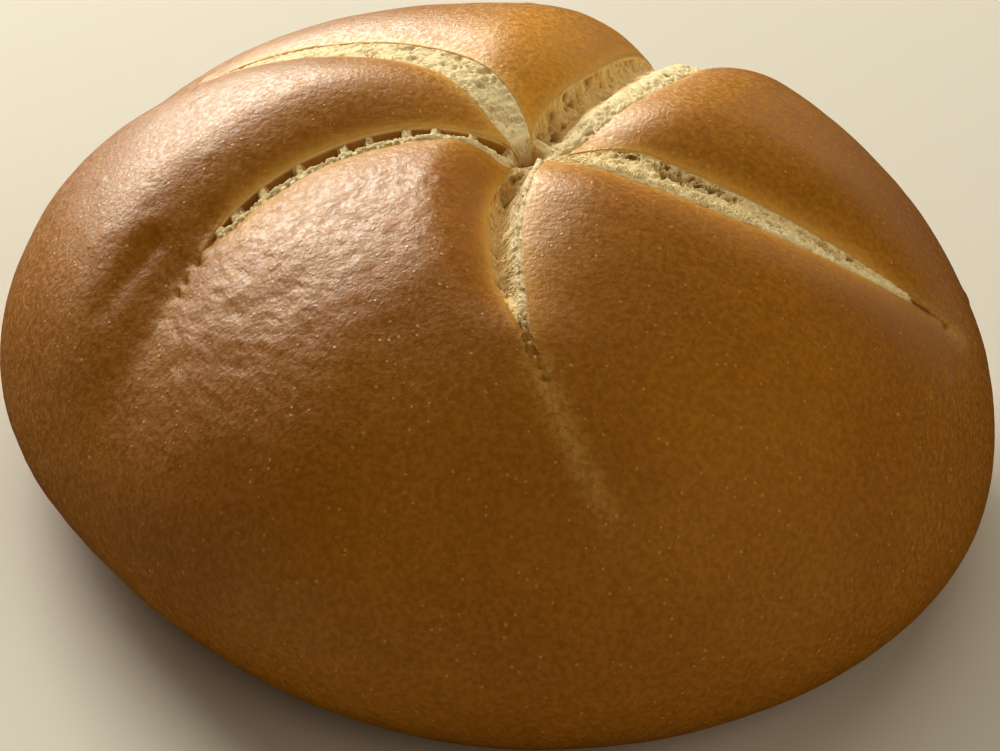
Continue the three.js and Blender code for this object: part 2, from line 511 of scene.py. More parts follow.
def shader_group(name, share, outputs):
    """A shader node group: a place and one named share in, named values out."""
    tree = bpy.data.node_groups.new(name, "ShaderNodeTree")
    add_socket(tree, "Vector", "INPUT", "Vector")
    add_socket(tree, share, "INPUT").default_value = 1.0
    for label in outputs:
        add_socket(tree, label, "OUTPUT")
    bench = Bench(tree)
    return bench, bench.place("NodeGroupInput").outputs, bench.place("NodeGroupOutput").inputs


# Settings that a user would change


class KaiserRollSettings(bpy.types.PropertyGroup):
    """Sizes and colours of the roll."""

    crust_colour: FloatVectorProperty(
        name="Crust Colour", description="Browned crust", subtype="COLOR", size=4,
        default=(0.40, 0.15, 0.006, 1.0), min=0, max=1)
    # Darkest browning, and also the painted shade laid into the dent's groove.
    browned_and_groove_shade_colour: FloatVectorProperty(
        name="Dark Crust Colour", description="Crust where it browned most", subtype="COLOR", size=4,
        default=(0.31, 0.102, 0.0028, 1.0), min=0, max=1)
    golden_colour: FloatVectorProperty(
        name="Golden Crust Colour", description="Lighter crust near the slits", subtype="COLOR", size=4,
        default=(0.66, 0.29, 0.026, 1.0), min=0, max=1)
    lip_colour: FloatVectorProperty(
        name="Lip Colour", description="Golden edge of the crust along a slit", subtype="COLOR", size=4,
        default=(0.72, 0.42, 0.10, 1.0), min=0, max=1)
    crumb_colour: FloatVectorProperty(
        name="Crumb Colour", description="Torn crumb in the slits", subtype="COLOR", size=4,
        default=(0.97, 0.83, 0.49, 1.0), min=0, max=1)
    # Painted shade: the darker, browner crumb laid low in the slits and on the crumb off the bank; it
    # also darkens the crumb towards each slit's closed end.
    wall_shade_colour: FloatVectorProperty(
        name="Wall Colour", description="Crumb low in a slit", subtype="COLOR", size=4,
        default=(0.84, 0.55, 0.18, 1.0), min=0, max=1)
    # Painted shade deep in the crumb's pores, and the colour of its random dark speckles.
    pore_shade_and_speckle_colour: FloatVectorProperty(
        name="Pore Colour", description="Crumb deep inside a pore", subtype="COLOR", size=4,
        default=(0.36, 0.16, 0.028, 1.0), min=0, max=1)
    # Painted shade: the dark colour inside the holes past the slits, on the troughs under the crumb and
    # in the pit at the crown.
    hollow_shade_colour: FloatVectorProperty(
        name="Hollow Colour", description="Inside of the holes under the crust", subtype="COLOR", size=4,
        default=(0.42, 0.19, 0.03, 1.0), min=0, max=1)
    pore_size: FloatProperty(
        name="Pore Size", description="Distance between the crumb's large pores",
        default=1.25 * MM, min=0.2 * MM, max=5 * MM, unit="LENGTH", precision=5)
    pore_depth: FloatProperty(
        name="Pore Depth", description="Depth of the crumb's large pores",
        default=0.85 * MM, min=0, max=3 * MM, unit="LENGTH", precision=5)
    fibre_depth: FloatProperty(
        name="Fibre Depth", description="Relief of the fibres drawn out across a slit",
        default=0.36 * MM, min=0, max=2 * MM, unit="LENGTH", precision=5)
    swell_height: FloatProperty(
        name="Swell Height", description="Slow unevenness of the crust",
        default=0.5 * MM, min=0, max=3 * MM, unit="LENGTH", precision=5)
    wrinkle_height: FloatProperty(
        name="Wrinkle Height", description="Fine wrinkles on the front left petal",
        default=0.2 * MM, min=0, max=1 * MM, unit="LENGTH", precision=5)
    blister_height: FloatProperty(
        name="Blister Height", description="Small blisters in the crust",
        default=0.22 * MM, min=0, max=1 * MM, unit="LENGTH", precision=5)
    thread_radius: FloatProperty(
        name="Thread Radius", description="Radius of a torn thread at its root",
        default=0.13 * MM, min=0.02 * MM, max=0.5 * MM, unit="LENGTH", precision=5)
    thread_seed: IntProperty(
        name="Thread Seed", description="Draw of the torn threads", default=7, min=0)


# Effects that the crust and the crumb share

BLOTCH_SIZE, SPECKLE_SIZE = 22.0, 0.62
PEBBLE_SIZE, DOT_SPACING, DOT_REACH, DOT_HEIGHT = 0.52, 0.9, 0.24, 0.6
GRAIN_DEPTH = 0.2


def bake_tone_group():
    """Uneven baking: slow blotches and fine speckles, as shares from 0 to 1."""
    bench, given, result = shader_group("bake_tone", "Contrast", ("Blotch", "Speckle"))
    middle = bench.math("MULTIPLY_ADD", given["Contrast"], -0.5, 0.5)

    def spread(value):
        return bench.math("MULTIPLY_ADD", value, given["Contrast"], middle)

    slow = bench.noise(given["Vector"], BLOTCH_SIZE, 3.0, 0.55)
    fine = bench.noise(given["Vector"], SPECKLE_SIZE, 2.0, 0.65)
    bench.feed(result["Blotch"], spread(bench.range(slow, 0.3, 0.72)))
    bench.feed(result["Speckle"], spread(bench.range(fine, 0.32, 0.7)))
    return bench.tree


def fine_grain_group():
    """Height of the fine grain that covers a baked surface, and the dots of tiny blisters in it."""
    bench, given, result = shader_group("fine_grain", "Coarseness", ("Height", "Dots"))
    place = bench.vector("SCALE", given["Vector"], bench.math("DIVIDE", 1.0, given["Coarseness"]))
    pebbles = bench.noise(place, PEBBLE_SIZE, 2.0, 0.6)
    spots = bench.cells(place, DOT_SPACING)
    size = bench.place("ShaderNodeSeparateXYZ", {"Vector": spots.outputs["Color"]}).outputs["X"]
    reach = bench.range(size, 0.45, 1.0, 0.0, DOT_REACH)
    dots = bench.range(bench.math("SUBTRACT", spots.outputs["Distance"], reach), 0.03, -0.1)
    bench.feed(result["Height"], bench.math("MULTIPLY_ADD", dots, DOT_HEIGHT, pebbles))
    bench.feed(result["Dots"], dots)
    return bench.tree


def place_group(bench, name, make, sockets):
    """Places a shared group, which is made the first time."""
    tree = bpy.data.node_groups.get(name) or make()
    return bench.place("ShaderNodeGroup", sockets, node_tree=tree).outputs


def start_material(name):
    """A new material, a bench for its nodes, and its shader."""
    material = bpy.data.materials.new(name)
    material.use_nodes = True
    return material, Bench(material.node_tree), material.node_tree.nodes["Principled BSDF"]


def add_baked_effects(bench, shader, contrast, coarseness, bump):
    """Places both effects, with the grain as a bump, and gives their outputs."""
    place = bench.place("ShaderNodeTexCoord").outputs["Object"]
    sockets = {"Vector": place, "Contrast": contrast}
    tone = place_group(bench, "bake_tone", bake_tone_group, sockets)
    sockets = {"Vector": place, "Coarseness": coarseness}
    grain = place_group(bench, "fine_grain", fine_grain_group, sockets)
    sockets = {"Height": grain["Height"], "Strength": bump, "Distance": GRAIN_DEPTH * MM}
    bench.feed(shader.inputs["Normal"], bench.place("ShaderNodeBump", sockets).outputs[0])
    return tone, grain


# The crust

CRUST_COLUMNS = 74
TROUGH_OFFS = (0.0, 0.3, 0.58, 0.8, 0.93)
TOP_ROWS, SIDE_ROWS, BASE_ROWS = 180, 30, 6
PETAL_COLUMNS = CRUST_COLUMNS + 2 * len(TROUGH_OFFS)
EVEN_SHARE = len(TROUGH_OFFS) / PETAL_COLUMNS
TROUGH_CLEARANCE, TROUGH_INNER = 1.5, 0.6
# Two columns under a lip: share of its angle once closed, depth below it, share of the rim's colour
UNDER_LIP = ((0.96, 0.6, 0.0), (0.98, 0.3, 1.0))
UNDERCUT, TUCK_SHARE = 1.2, 0.35
LIP_REACH, SEAM_LEAD = 0.5, 10.0
HOLES = (
    (RIGHT, 56.5, 0.35), (LEFT, 42.8, 0.48), (LEFT, 45.8, 0.42), (LEFT, 47.6, 0.34),
    (FRONT, 33.4, 0.4), (FRONT, 35.2, 0.44), (FRONT, 37.0, 0.36), (FRONT, 38.6, 0.32),
)
WRINKLE_MIDDLE, WRINKLE_RADIUS = (-26.0, -17.0), 18.0
PALE_MIDDLE, PALE_RADIUS = (3.0, 16.0), 17.0


def off_line(index, ring, angle):
    """Distance of points from the line in the middle of a slit."""
    return reach_of(ring) * (angle - slit_angle(index, ring)) * slant_of(slit_at(index), ring)


def seam_mark(index, ring, angle):
    """The pale streak in which a slit runs out: how strong it is near the slit's line."""
    tear, run = tear_at(index), run_of(ring)
    tail = smooth_step(run, tear.end - SEAM_LEAD, tear.end)
    fade = 1 - smooth_step(run, (tear.end + tear.seam_end) / 2, tear.seam_end)
    return tail * fade * np.exp(-((off_line(index, ring, angle) / tear.seam_width) ** 2))


def hole_mark(index, ring, angle):
    """The small holes past a slit's open end: 1 in the middle of a hole, 0 away from it."""
    off, run = off_line(index, ring, angle), run_of(ring)
    mark = 0.0 * off
    for slit, at, size in HOLES:
        if slit == index % len(SLITS):
            mark = mark + np.exp(-(((run - at) ** 2 + 2 * off ** 2) / size ** 2))
    return mark


def crust_columns(index, rings):
    """Each column between one slit and the next: its angle, how far it is sunk, and its marks."""
    rows = slit_row(index, rings), slit_row(index + 1, rings)
    shares = open_share(index, rings), open_share(index + 1, rings)
    none = 0.0 * rings

    def trough(at, off):
        row, opened = rows[at - index], shares[at - index]
        side = int(off > 0)
        under = UNDERCUT * abs(off) ** 6 / np.maximum(reach_of(rings), 1e-3)
        under = np.minimum(under, TUCK_SHARE * row.crusts[side])
        angle = row.middle + row.lips[side] * across_of(off, opened) + np.sign(off) * under * opened
        inner = off * mix(1.0, TROUGH_INNER, opened)
        sunk = crumb_sunk(at, inner, run_of(np.minimum(rings, 1.0))) + TROUGH_CLEARANCE * opened
        return angle, sunk, none, none, opened, none

    def edge(at, side, closed, down, rim):
        row, opened = rows[at - index], shares[at - index]
        angle = row.middle + (2 * side - 1) * row.lips[side] * mix(closed, 1.0, opened)
        sunk = row.depths[side] + down * opened
        return angle, sunk, opened * rim, none, opened * (1 - rim), opened * rim

    for off in TROUGH_OFFS:
        yield trough(index, off)
    for column in UNDER_LIP:
        yield edge(index, 1, *column)
    start, end = rows[0].middle + rows[0].lips[1], rows[1].middle - rows[1].lips[0]
    reaches = tear_at(index).golden[1], tear_at(index + 1).golden[0]
    for place in range(CRUST_COLUMNS + 1):
        angle = mix(start, end, place / CRUST_COLUMNS)
        gaps = reach_of(rings) * (angle - start), reach_of(rings) * (end - angle)
        sunk = crease(index, 1, rings, gaps[0]) + crease(index + 1, 0, rings, gaps[1])
        lip = sum(np.exp(-gap / LIP_REACH) * share for gap, share in zip(gaps, shares))
        golden = sum(np.exp(-gap / reach) * share for gap, reach, share in zip(gaps, reaches, shares))
        yield angle, sunk, np.clip(lip, 0, 1), np.clip(golden, 0, 1), none, none
    for column in reversed(UNDER_LIP):
        yield edge(index + 1, 0, *column)
    for off in reversed(TROUGH_OFFS[1:]):
        yield trough(index + 1, -off)


def crust_mesh():
    """The crust and the troughs under the crumb, with each point's marks for relief and colour."""
    rings = np.concatenate([
        np.linspace(0, 1, TOP_ROWS + 1)[1:],
        np.linspace(1, 2, SIDE_ROWS + 1)[1:],
        np.linspace(2, 3, BASE_ROWS + 1)[1:-1],
    ])[:, None]
    parts = []
    for index in range(len(SLITS)):
        for angle, *others in crust_columns(index, rings):
            for make in (seam_mark, hole_mark):
                others.append(make(index, rings, angle) + make(index + 1, rings, angle))
            parts.append((angle, *others))
    angle, sunk, *kept = (np.concatenate(each, axis=1) for each in zip(*parts))
    ring = np.broadcast_to(rings, angle.shape)
    grid = settle(ring, angle, sunk)
    plan = grid[..., :2]
    marks = dict(zip(("lip", "golden", "torn", "rim", "seam", "hole"), kept))
    marks["golden"] = np.maximum(marks["golden"], spot(plan, PALE_MIDDLE, PALE_RADIUS))
    # Where painted shade darkens the crust in the dent's groove.
    marks["groove"] = groove_mark(grid)
    marks["wrinkle"] = spot(plan, WRINKLE_MIDDLE, WRINKLE_RADIUS)
    rows, columns = angle.shape
    top, bottom = rows * columns, rows * columns + 1
    points = np.concatenate([grid.reshape(-1, 3), [[0, 0, grid[0, :, 2].mean()], [0, 0, 0]]])
    last = (rows - 1) * columns
    caps = [(top, at, (at + 1) % columns) for at in range(columns)]
    caps += [(bottom, last + (at + 1) % columns, last + at) for at in range(columns)]
    flat = {}
    for name, values in marks.items():
        flat[name] = np.append(values.ravel(), [values[0].mean(), values[-1].mean()])
    return mesh_of("roll_crust", points, ring_faces(rows, columns).tolist() + caps, flat)


CRUST_SIZES = ("Swell Height", "Wrinkle Height", "Blister Height", "Hole Depth")
HOLE_DEPTH = 0.6
SWELL_SIZE, LUMP_SIZE, LUMP_SHARES = 15.0, 3.4, (0.7, 0.25)
BLISTER_SPACING, BLISTER_REACH, BLISTER_CHOICE = 8.0, 0.16, 0.45
FOLD_SIZE, FOLD_TURN, FOLD_STRETCH, FOLD_DEPTH = 3.0, 38.0, 2.2, 6.0
BASE_CALM = (0.5 * MM, 4 * MM)
CRUST_CONTRAST, CRUST_BUMP = 0.6, 0.45
CRUST_ROUGHNESS, CRUST_SPECULAR = (0.36, 0.55), 0.25
FLECK_CONTRAST, FLECK_LEVEL = 0.54, 0.73
# The groove's share is painted shade in the dent's groove.
GROOVE_PAINTED_SHADE, DOT_PALENESS, LIP_PALENESS, RIM_PALENESS = 0.7, 0.42, 0.75, 0.45
STREAK_PALENESS = (0.15, 0.45)


def crust_relief_tree(material):
    """Slow swells, small lumps, wrinkles, blisters and the holes past the slits' ends."""
    bench, given = geometry_tree("baked_crust", CRUST_SIZES)
    place = bench.place("GeometryNodeInputPosition").outputs[0]
    height_above = bench.place("ShaderNodeSeparateXYZ", {"Vector": place}).outputs["Z"]
    swell = bench.math("SUBTRACT", bench.noise(place, SWELL_SIZE, 1.0), 0.5)
    lumps = bench.math("SUBTRACT", bench.noise(place, LUMP_SIZE, 2.0), 0.5)
    lumpy = bench.math("MULTIPLY_ADD", bench.mark("wrinkle"), *LUMP_SHARES)
    slow = bench.product(bench.math("MULTIPLY_ADD", lumps, lumpy, swell), given["Swell Height"])
    sockets = {"Vector": place, "Angle": math.radians(FOLD_TURN)}
    turned = bench.place("ShaderNodeVectorRotate", sockets, rotation_type="Z_AXIS").outputs[0]
    drawn = bench.vector("MULTIPLY", turned, (1, FOLD_STRETCH, 1))
    crinkle = bench.noise(drawn, FOLD_SIZE, 3.0, 0.62)
    folds = bench.math("ABSOLUTE", bench.math("SUBTRACT", crinkle, 0.5))
    wrinkle = bench.product(folds, -FOLD_DEPTH, bench.mark("wrinkle"), given["Wrinkle Height"])
    spots = bench.cells(place, BLISTER_SPACING)
    chosen = bench.place("ShaderNodeSeparateXYZ", {"Vector": spots.outputs["Color"]}).outputs["X"]
    bubble = bench.range(spots.outputs["Distance"], BLISTER_REACH, 0.0)
    chosen = bench.math("GREATER_THAN", chosen, BLISTER_CHOICE)
    blister = bench.product(bubble, chosen, given["Blister Height"])
    sink = bench.product(bench.mark("hole"), given["Hole Depth"])
    whole = bench.math("SUBTRACT", bench.total(slow, wrinkle, blister), sink)
    solid = bench.math("SUBTRACT", 1.0, bench.mark("torn"))
    calm = bench.product(bench.range(height_above, *BASE_CALM), solid)
    raised = raise_points(bench, given["Geometry"], bench.product(whole, calm))
    return end_tree(bench, raised, material)


def crust_material(settings):
    material, bench, shader = start_material("browned_crust")
    tone, grain = add_baked_effects(bench, shader, CRUST_CONTRAST, 1.0, CRUST_BUMP)
    names = ("lip", "seam", "torn", "hole", "rim", "groove", "golden")
    lip, seam, torn, hole, rim, groove, golden = map(bench.shader_mark, names)
    brown = bench.blend(tone["Blotch"], settings.crust_colour, settings.browned_and_groove_shade_colour)
    # Painted shade: the dent's groove is darkened towards the dark crust colour.
    brown = bench.blend(bench.product(groove, GROOVE_PAINTED_SHADE), brown, settings.browned_and_groove_shade_colour)
    brown = bench.blend(golden, brown, settings.golden_colour)
    flecks = bench.math("MULTIPLY_ADD", tone["Speckle"], FLECK_CONTRAST, FLECK_LEVEL)
    brown = bench.blend(1.0, brown, flecks, "MULTIPLY")
    brown = bench.blend(bench.product(grain["Dots"], DOT_PALENESS), brown, settings.lip_colour)
    streak = bench.product(seam, bench.range(tone["Speckle"], 0.1, 0.9, *STREAK_PALENESS))
    pale = bench.math("MAXIMUM", bench.product(lip, LIP_PALENESS), streak)
    colour = bench.blend(pale, brown, settings.lip_colour)
    # Painted shade: the troughs under the crumb and the holes past the slits' ends take the dark hollow
    # colour.
    colour = bench.blend(bench.math("MAXIMUM", torn, hole), colour, settings.hollow_shade_colour)
    edge = bench.blend(RIM_PALENESS, settings.lip_colour, settings.crumb_colour)
    colour = bench.blend(rim, colour, edge)
    bench.feed(shader.inputs["Base Color"], colour)
    bench.feed(shader.inputs["Roughness"], bench.range(tone["Speckle"], 0.25, 0.75, *CRUST_ROUGHNESS))
    shader.inputs["Specular IOR Level"].default_value = CRUST_SPECULAR
    return material


class KAISER_OT_crust(bpy.types.Operator):
    """Builds the browned crust over the whole roll"""

    bl_idname = "kaiser.crust"
    bl_label = "Crust"

    def execute(self, context):
        settings = context.scene.kaiser_roll
        piece = link_object("roll_crust", crust_mesh())
        heights = [settings.swell_height, settings.wrinkle_height, settings.blister_height]
        sizes = dict(zip(CRUST_SIZES, (*heights, HOLE_DEPTH * MM)))
        shape_by(piece, crust_relief_tree(crust_material(settings)), sizes)
        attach(piece, "root")
        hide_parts("roll")
        return {"FINISHED"}


# The torn crumb

CRUMB_COLUMNS = 58
CRUMB_START, CRUMB_STEP = 0.35, 0.2
CRUMB_TUCK, CRUMB_TUCK_DROP = 0.8, 0.5
CRUMB_SPILL, CRUMB_SPILL_DROP = 0.5, 0.1
CRUMB_EDGE_DROP, CRUMB_DIVE = 0.1, 1.8
CRUMB_BACK_DEPTH, CRUMB_BACK_OFFS = 3.0, (0.7, 0.0, -0.7)
BANK_CALM = 0.6
FIBRE_GAP = 100.0
# Runs over which painted shade in the pit at the crown fades out, and over which the crumb's relief
# calms there.
CROWN_SHADE_RUNS, CROWN_CALM = (0.8, 2.8), (0.2, 1.5)
# Depths below the lips over which painted shade comes into the crumb, and how far the crumb darkens
# towards a slit's closed end.
SHADE_DEPTHS, END_TINT = (0.3, 2.6), 0.9


def slit_point(index, run, off, lift=0.0, tuck=0.0):
    """Points in a slit: off the middle from -1 to 1, lifted off the torn face, tucked past the lip."""
    ring = run / run_of(1.0)
    row = slit_row(index, ring)
    room = TUCK_SHARE * np.where(off > 0, row.crusts[1], row.crusts[0])
    beyond = np.sign(off) * np.minimum(tuck / np.maximum(reach_of(ring), 1e-3), room)
    angle = row.middle + across_of(off) * np.where(off > 0, row.lips[1], row.lips[0]) + beyond
    ring, angle, sunk = np.broadcast_arrays(ring, angle, crumb_sunk(index, off, run) - lift)
    return settle(ring, angle, sunk)


def crumb_strip(index):
    """One slit's crumb as a closed strip: rows of loops, each over the torn face and back under it."""
    tear = TEARS[index]
    run = np.arange(CRUMB_START, tear.end, CRUMB_STEP)[:, None]
    off = np.linspace(-1, 1, CRUMB_COLUMNS)[None, :]
    dive = CRUMB_DIVE * smooth_step(run, tear.end - tear.fade / 2, tear.end)
    edge_off, back_off = np.array([[1.0]]), np.array([CRUMB_BACK_OFFS])
    bank = bank_share(tear, off)
    face = slit_point(index, run, off, -CRUMB_EDGE_DROP * off ** 8 * (1 - bank) - dive)
    sides = []
    for side in (1, -1):
        down, tuck = CRUMB_TUCK_DROP, CRUMB_TUCK
        if side == tear.side:
            down, tuck = CRUMB_SPILL_DROP, CRUMB_SPILL
        sides.append(slit_point(index, run, side * edge_off, -down - dive, tuck))
    back = slit_point(index, run, back_off, -CRUMB_BACK_DEPTH - dive)
    loops = np.concatenate([face, sides[0], back, sides[1]], axis=1)
    opened = np.zeros(loops.shape[:2])
    opened[:, :CRUMB_COLUMNS] = (1 - off ** 6 * (1 - bank)) * smooth_step(run, *CROWN_CALM)
    half_width = np.linalg.norm(face[:, -1] - face[:, 0], axis=-1)[:, None] / 2
    drawn = np.zeros(loops.shape)
    drawn[..., 0] = run + FIBRE_GAP * index
    drawn[:, :CRUMB_COLUMNS, 1] = off * half_width
    sponge = 0 * opened + tear.sponge
    sponge[:, :CRUMB_COLUMNS] *= 1 - BANK_CALM * bank
    # Crown: painted shade in the pit at the crown.
    crown = 0 * opened + 1 - smooth_step(run, *CROWN_SHADE_RUNS)
    # Deep: painted shade by depth below the lips and off the bank, and darker crumb towards each slit's
    # closed end.
    ring = run / run_of(1.0)
    level = mix(*slit_row(index, ring).depths, (1 + off) / 2)
    painted_shade = smooth_step(crumb_sunk(index, off, run) - level, *SHADE_DEPTHS)
    deep = np.zeros(loops.shape[:2])
    deep[:, :CRUMB_COLUMNS] = np.maximum(painted_shade, tear.painted_shade * (1 - bank))
    deep = np.maximum(deep, END_TINT * (1 - open_share(index, ring)))
    lumps = 0 * opened + tear.lumps
    marks = {"open": opened, "drawn": drawn * MM, "sponge": sponge}
    return loops, {**marks, "crown": crown, "deep": deep, "lumps": lumps}


def crumb_mesh():
    """The crumb of all the slits: five closed strips in one mesh."""
    points, faces = [], []
    marks = {}
    count = 0
    for index in range(len(SLITS)):
        loops, strip_marks = crumb_strip(index)
        rows, columns = loops.shape[:2]
        faces += (ring_faces(rows, columns) + count).tolist()
        first = np.arange(columns) + count
        faces += [first.tolist(), (first[::-1] + (rows - 1) * columns).tolist()]
        count += rows * columns
        points.append(loops.reshape(-1, 3))
        for name, values in strip_marks.items():
            marks.setdefault(name, []).append(values.reshape(rows * columns, -1).squeeze())
    joined = {name: np.concatenate(values) for name, values in marks.items()}
    return mesh_of("crumb", np.concatenate(points), faces, joined)


CRUMB_SIZES = ("Pore Size", "Pore Depth", "Fibre Depth", "Lump Height")
LUMP_HEIGHT = 0.7
WARP_SIZE, WARP_REACH = 1.3, 0.9
DENSE_SIZE, CRUMB_LUMP_SIZE, FIBRE_SIZE = 2.1, 2.4, 1.0
FINE_PORES, FINE_DEPTH = 2.4, 0.6
LARGE_WALLS, FINE_WALLS, PORE_SLOPE = (0.04, 0.4), (0.05, 0.3), 0.16
FIBRE_STRETCH = (2.6, 0.5, 1.0)
# The pit and crown shares are painted shade in the pores and in the pit at the crown; the speckle share
# is random tone.
SPECKLE_DARKNESS, PORE_PAINTED_SHADE, CROWN_PAINTED_SHADE = 0.25, 0.9, 0.85
CRUMB_GRAIN, CRUMB_BUMP, CRUMB_ROUGHNESS, CRUMB_SPECULAR = 0.7, 0.4, 0.75, 0.3


def torn_crumb_tree(material):
    """Pores of two sizes, fibres drawn across the slit and coarse lumps."""
    bench, given = geometry_tree("torn_crumb", CRUMB_SIZES)
    place = bench.place("GeometryNodeInputPosition").outputs[0]
    shift = bench.noise(place, WARP_SIZE, 1.0, output="Color")
    warp = bench.vector("SUBTRACT", shift, (0.5, 0.5, 0.5))
    bent = bench.vector("ADD", place, bench.vector("SCALE", warp, WARP_REACH * MM))
    dense = bench.noise(place, DENSE_SIZE, 1.0)
    sponge = bench.mark("sponge")

    def pores(scale, thin, thick):
        cells = bench.cells(bent, 1.0, "DISTANCE_TO_EDGE")
        bench.feed(cells.inputs["Scale"], scale)
        wall = bench.range(dense, 0.3, 0.62, thin, thick)
        return bench.range(cells.outputs["Distance"], wall, bench.math("ADD", wall, PORE_SLOPE))

    large_scale = bench.math("DIVIDE", 1.0, given["Pore Size"])
    large = bench.product(pores(large_scale, *LARGE_WALLS), sponge)
    fine_scale = bench.product(large_scale, FINE_PORES)
    fine = bench.product(pores(fine_scale, *FINE_WALLS), sponge)
    drawn = bench.vector("MULTIPLY", bench.mark("drawn", "FLOAT_VECTOR"), FIBRE_STRETCH)
    strands = bench.noise(drawn, FIBRE_SIZE, 2.0, 0.55)
    fibre = bench.math("ABSOLUTE", bench.math("SUBTRACT", strands, 0.5))
    ridge = bench.product(bench.math("MULTIPLY_ADD", fibre, -4.0, 0.5), given["Fibre Depth"])
    uneven = bench.math("SUBTRACT", bench.noise(place, CRUMB_LUMP_SIZE, 2.0), 0.45)
    lump = bench.product(uneven, given["Lump Height"], bench.mark("lumps"))
    deep = bench.product(large, given["Pore Depth"])
    shallow = bench.product(fine, given["Pore Depth"], FINE_DEPTH)
    whole = bench.math("SUBTRACT", bench.total(ridge, lump), bench.total(deep, shallow))
    pit = bench.math("MAXIMUM", large, bench.product(fine, 0.7))
    shape = given["Geometry"]
    # Kept for the material: pit, for painted shade in the pores, and streak, for painted light along the
    # fibre ridges.
    for name, value in (("pit", pit), ("streak", bench.range(fibre, 0.1, 0.0))):
        sockets = {"Geometry": shape, "Name": name, "Value": value}
        shape = bench.place("GeometryNodeStoreNamedAttribute", sockets).outputs[0]
    raised = raise_points(bench, shape, bench.product(whole, bench.mark("open")))
    return end_tree(bench, raised, material)


def crumb_material(settings):
    """Pale crumb with painted shade: darker in its pores, low in the slits and in the pit at the crown.
    """
    material, bench, shader = start_material("torn_crumb")
    tone, _ = add_baked_effects(bench, shader, 1.0, CRUMB_GRAIN, CRUMB_BUMP)
    # Painted light: along the fibre ridges less of the painted wall shade is laid on.
    between = bench.math("MULTIPLY_ADD", bench.shader_mark("streak"), -0.6, 1.0)
    painted_wall_shade = bench.product(bench.shader_mark("deep"), between)
    # Painted shade: the crumb low in the slits and off the bank takes the wall shade colour.
    pale = bench.blend(painted_wall_shade, settings.crumb_colour, settings.wall_shade_colour)
    pale = bench.blend(bench.product(tone["Speckle"], SPECKLE_DARKNESS), pale, settings.pore_shade_and_speckle_colour)
    # Painted shade: the pores are darkened towards the pore colour.
    deep = bench.product(bench.shader_mark("pit"), PORE_PAINTED_SHADE)
    pale = bench.blend(deep, pale, settings.pore_shade_and_speckle_colour)
    # Painted shade: the crumb in the pit at the crown takes the dark hollow colour.
    crown = bench.product(bench.shader_mark("crown"), CROWN_PAINTED_SHADE)
    bench.feed(shader.inputs["Base Color"], bench.blend(crown, pale, settings.hollow_shade_colour))
    shader.inputs["Roughness"].default_value = CRUMB_ROUGHNESS
    shader.inputs["Specular IOR Level"].default_value = CRUMB_SPECULAR
    return material


class KAISER_OT_crumb(bpy.types.Operator):
    """Builds the torn crumb that lines the slits"""

    bl_idname = "kaiser.crumb"
    bl_label = "Crumb"

    def execute(self, context):
        settings = context.scene.kaiser_roll
        piece = link_object("crumb", crumb_mesh())
        sizes = (settings.pore_size, settings.pore_depth, settings.fibre_depth, LUMP_HEIGHT * MM)
        shape_by(piece, torn_crumb_tree(crumb_material(settings)), dict(zip(CRUMB_SIZES, sizes)))
        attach(piece, "root")
        return {"FINISHED"}


# Torn threads along the lips


class Fringe(NamedTuple):
    """Threads along a stretch of a slit: where they start across it and how far over they reach."""

    slit: int
    runs: tuple
    count: int
    root: float
    tips: tuple
    rise: float


FRINGES = (
    Fringe(RIGHT, (2.5, 26), 200, -0.98, (-0.7, -0.1), 0.7),
    Fringe(RIGHT, (3, 30), 60, 0.95, (0.3, 0.7), 0.4),
    Fringe(FRONT, (2.0, 28), 260, 0.9, (-0.4, 0.4), 0.35),
    Fringe(LEFT, (6, 38), 120, 0.8, (-0.8, 0.3), 0.3),
    Fringe(BACK, (3, 44), 200, -0.9, (-0.4, 0.2), 0.3),
    Fringe(FAR_LEFT, (3, 40), 80, 0.98, (0.3, 0.8), 0.3),
)
THREAD_POINTS, THREAD_SIDES = 6, 5
THREAD_DRIFT, THREAD_ROOT_DEPTH = 0.7, 0.4
THREAD_RISES, THREAD_ARCS, THREAD_RADII = (0.3, 1.2), (0.5, 0.95), (0.5, 1.2)
THREAD_STRAIGHT, THREAD_TAPER, THREAD_LIMIT = 0.7, 0.8, 0.995
SPAN_FROM, SPAN_WAIST = 1.5, 0.6


def thread_mesh(settings):
    """Paths of all the threads as loose rows of edges, with each point's radius."""
    draw = np.random.default_rng(settings.thread_seed)
    along = np.linspace(0, 1, THREAD_POINTS)
    points, radii, edges = [], [], []
    for fringe in FRINGES:
        for _ in range(fringe.count):
            run = draw.uniform(*fringe.runs) + THREAD_DRIFT * draw.normal() * along
            tip = draw.uniform(*fringe.tips)
            off = np.clip(mix(fringe.root, tip, along), -THREAD_LIMIT, THREAD_LIMIT)
            height = fringe.rise * draw.uniform(*THREAD_RISES)
            rise = height * np.sin(along * np.pi * draw.uniform(*THREAD_ARCS))
            bowed = slit_point(fringe.slit, run, off)
            chord = mix(bowed[:1], bowed[-1:], along[:, None])
            lift = rise - THREAD_ROOT_DEPTH * (1 - along)
            path = mix(bowed, chord, THREAD_STRAIGHT) + np.outer(lift, (0, 0, 1))
            first = len(points)
            points += path.tolist()
            spans = abs(fringe.root - tip) > SPAN_FROM
            thin = 1 - THREAD_TAPER * (np.sin(along * np.pi) * SPAN_WAIST if spans else along)
            radii += (settings.thread_radius * draw.uniform(*THREAD_RADII) * thin).tolist()
            edges += [(first + step, first + step + 1) for step in range(THREAD_POINTS - 1)]
    return mesh_of("crumb_threads", np.array(points), [], {"thread_radius": np.array(radii)}, edges)


